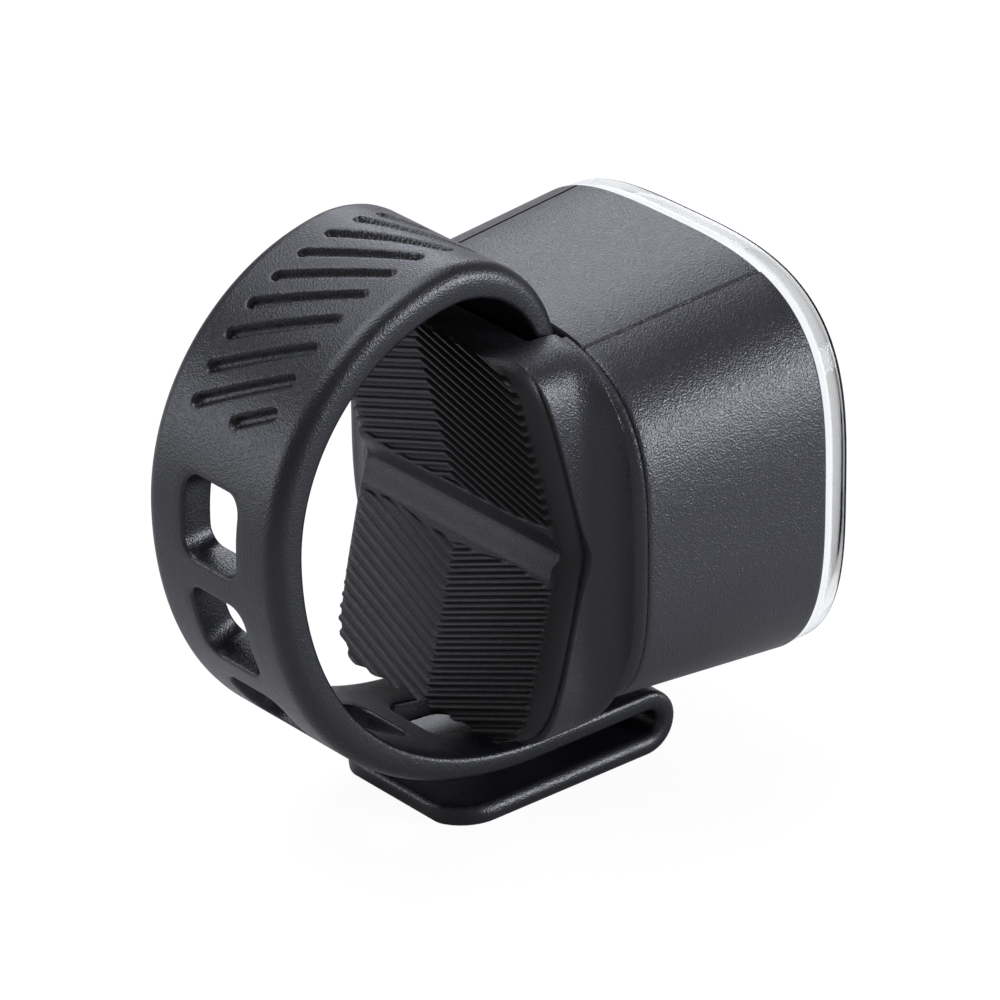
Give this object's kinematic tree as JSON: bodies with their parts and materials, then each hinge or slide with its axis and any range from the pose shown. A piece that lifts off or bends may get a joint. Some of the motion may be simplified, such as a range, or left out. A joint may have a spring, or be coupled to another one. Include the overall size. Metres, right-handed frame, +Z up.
{
  "type": "bicycle headlight",
  "caption": "Compact rounded-square bicycle headlight with clear domed lens, press panel on top, ribbed rubber V-saddle and slotted stretch strap for the handlebar.",
  "frame": {"origin": "bottom of the saddle's V, where the handlebar seats, on the lamp's middle plane", "axes": "+X along the handlebar to the rider's right, +Y forward along the beam, +Z up"},
  "size_m": [0.036, 0.0483, 0.0472],
  "materials": {
    "shell_plastic": "fine spark-eroded satin",
    "strap_rubber": "satin",
    "pad_rubber": "matte",
    "cover_rubber": "matte",
    "clear_plastic": "clear polished",
    "seal_silicone": "matte",
    "bezel_plastic": "metallised",
    "white_board": "white solder mask on aluminium",
    "led_body": "matte",
    "led_phosphor": "matte",
    "spreader_metal": "satin",
    "green_board": "satin",
    "chip_plastic": "matte",
    "pin_brass": "plated",
    "cell_wrap": "satin foil",
    "foam": "soft",
    "lead_wire": "gloss",
    "steel": "satin",
    "plunger_plastic": "matte"
  },
  "bodies": {
    "lamp": {"housing": "shell_plastic", "front_lens": "clear_plastic", "lens_gasket": "seal_silicone", "collimator_optic": "clear_plastic", "reflector_bezel": "bezel_plastic", "led_board": "white_board", "led_packages": "led_body", "led_phosphors": "led_phosphor", "heat_spreader": "spreader_metal", "main_board": "green_board", "board_chips": "chip_plastic", "board_header": "chip_plastic", "header_pins": "pin_brass", "battery_cell": "cell_wrap", "battery_foam": "foam", "battery_leads": "lead_wire", "usb_socket": "steel", "usb_tongue": "chip_plastic", "tact_switch": "chip_plastic", "button_seal": "seal_silicone", "mount_bracket": "shell_plastic", "grip_pad": "pad_rubber", "bracket_screws": "steel", "strap_pin": "steel", "strap_root": "strap_rubber"},
    "press_panel": {"power_button": "shell_plastic", "switch_plunger": "plunger_plastic"},
    "port_cover": {"usb_cover": "cover_rubber"},
    "strap_free_end": {"strap_tail": "strap_rubber"}
  },
  "joints": [
    {"name": "power_press", "type": "slide", "parent": "lamp", "child": "press_panel", "axis": [0, 0, -1], "range_m": [0, 0.0004], "stiffness_N_per_m": 1500},
    {"name": "port_cover_hinge", "type": "hinge", "parent": "lamp", "child": "port_cover", "pos_m": [-0.01653, 0.00645, 0.00283], "axis": [0, 0, 1], "range_deg": [0, 95]},
    {"name": "strap_peel", "type": "hinge", "parent": "lamp", "child": "strap_free_end", "pos_m": [0, -0.02346, 0.0011], "axis": [-1, 0, 0], "range_deg": [0, 70], "stiffness_Nm_per_rad": 0.05}
  ]
}
